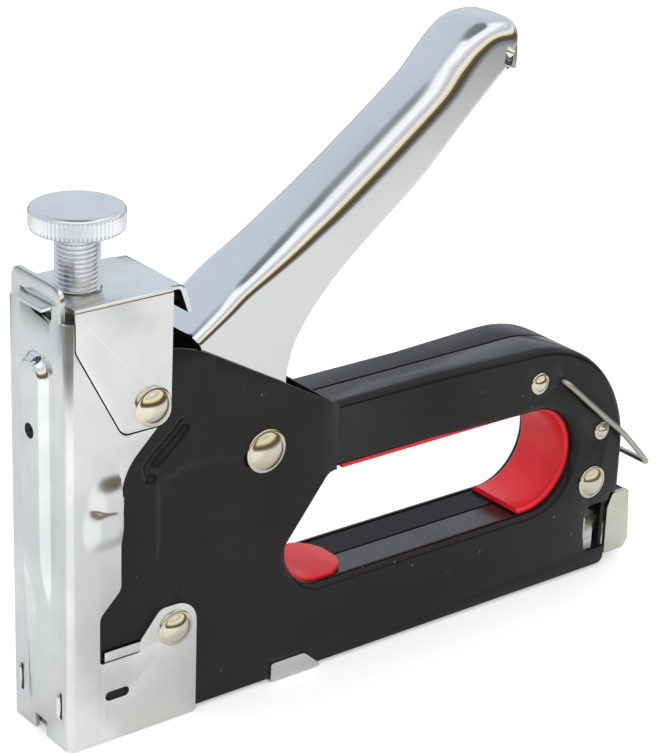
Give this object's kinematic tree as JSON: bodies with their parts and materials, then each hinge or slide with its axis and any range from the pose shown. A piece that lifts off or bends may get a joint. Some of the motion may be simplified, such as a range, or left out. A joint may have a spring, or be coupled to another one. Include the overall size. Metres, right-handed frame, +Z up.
{
  "type": "staple tacker",
  "caption": "Hand staple tacker with a squeeze lever, bright nose casing, adjusting screw, finger window with soft liners, pull-out feed rail and wire lock loop.",
  "frame": {"origin": "on the middle plane and on the magazine's underside, which is level with the nose's lower edges (z = 0), 10 mm behind the front wall's outer face", "axes": "+X from the nose to the rear, along the magazine; +Z up, along the driver; +Y across, so that the tool is a mirror image about y = 0"},
  "size_m": [0.171, 0.0274, 0.1441],
  "materials": {
    "bright_zinc": "polished",
    "chrome_lever": "polished",
    "black_lacquer": "gloss",
    "red_rubber": "satin",
    "black_rubber": "matte",
    "nickel_rivet": "polished",
    "knurled_steel": "satin",
    "spring_wire": "satin",
    "zinc_catch": "polished",
    "plain_steel": "satin",
    "hard_steel": "satin"
  },
  "bodies": {
    "frame": {"front_casing": "bright_zinc", "top_cap": "bright_zinc", "body_left": "black_lacquer", "body_right": "black_lacquer", "upper_front_rivet": "nickel_rivet", "lower_front_rivet": "nickel_rivet", "lever_pivot_rivet": "nickel_rivet", "rear_rivet": "nickel_rivet", "grip_rivet": "nickel_rivet", "wire_stop_pin": "nickel_rivet", "front_spacer": "plain_steel", "rear_spacer": "plain_steel", "grip_liner": "red_rubber", "front_corner_liner": "red_rubber", "cap_nut": "plain_steel", "rubber_buffer": "black_rubber", "buffer_pin": "plain_steel", "driver_guide": "plain_steel", "magazine_channel": "plain_steel"},
    "lever": {"lever_handle": "chrome_lever", "pivot_bush": "plain_steel", "lift_pin": "hard_steel", "lift_roller": "hard_steel"},
    "driver": {"driver_carrier": "hard_steel", "driver_blade": "hard_steel", "main_spring": "spring_wire"},
    "seat": {"spring_seat": "plain_steel"},
    "screw": {"adjusting_screw": "knurled_steel", "adjusting_knob": "knurled_steel"},
    "wire": {"lock_wire": "spring_wire"},
    "rail": {"feed_rail": "plain_steel", "spring_rod": "plain_steel", "rail_end_block": "plain_steel", "rail_end_pin": "plain_steel", "magazine_catch": "zinc_catch", "catch_rivet": "nickel_rivet"},
    "pusher": {"staple_pusher": "plain_steel", "feeder_spring": "spring_wire"}
  },
  "joints": [
    {"name": "lever_squeeze", "type": "hinge", "parent": "frame", "child": "lever", "pos_m": [0.0406, 0, 0.0578], "axis": [0, 1, 0], "range_deg": [0, 40], "stiffness_Nm_per_rad": 4.4, "springref_deg": -13.75},
    {"name": "driver_lift", "type": "slide", "parent": "frame", "child": "driver", "axis": [0, 0, 1], "range_m": [0, 0.0144], "deforming": ["main_spring"]},
    {"name": "screw_turn", "type": "hinge", "parent": "seat", "child": "screw", "pos_m": [-0.0001, 0, 0.105], "axis": [0, 0, -1], "range_deg": [0, 2710]},
    {"name": "seat_slide", "type": "slide", "parent": "frame", "child": "seat", "axis": [0, 0, -1], "range_m": [0, 0.0075], "deforming": ["main_spring"]},
    {"name": "wire_swing", "type": "hinge", "parent": "frame", "child": "wire", "pos_m": [0.1282, 0, 0.054], "axis": [0, -1, 0], "range_deg": [0, 105]},
    {"name": "rail_slide", "type": "slide", "parent": "frame", "child": "rail", "axis": [1, 0, 0], "range_m": [0, 0.1]},
    {"name": "pusher_slide", "type": "slide", "parent": "rail", "child": "pusher", "axis": [1, 0, 0], "range_m": [0, 0.085], "stiffness_N_per_m": 60, "springref_m": -0.05, "deforming": ["feeder_spring"]}
  ],
  "couplings": [
    {"joint": "driver_lift", "follows": "lever_squeeze", "m_per_rad": 0.020569},
    {"joint": "screw_turn", "follows": "seat_slide", "rad_per_m": 6283.2}
  ]
}
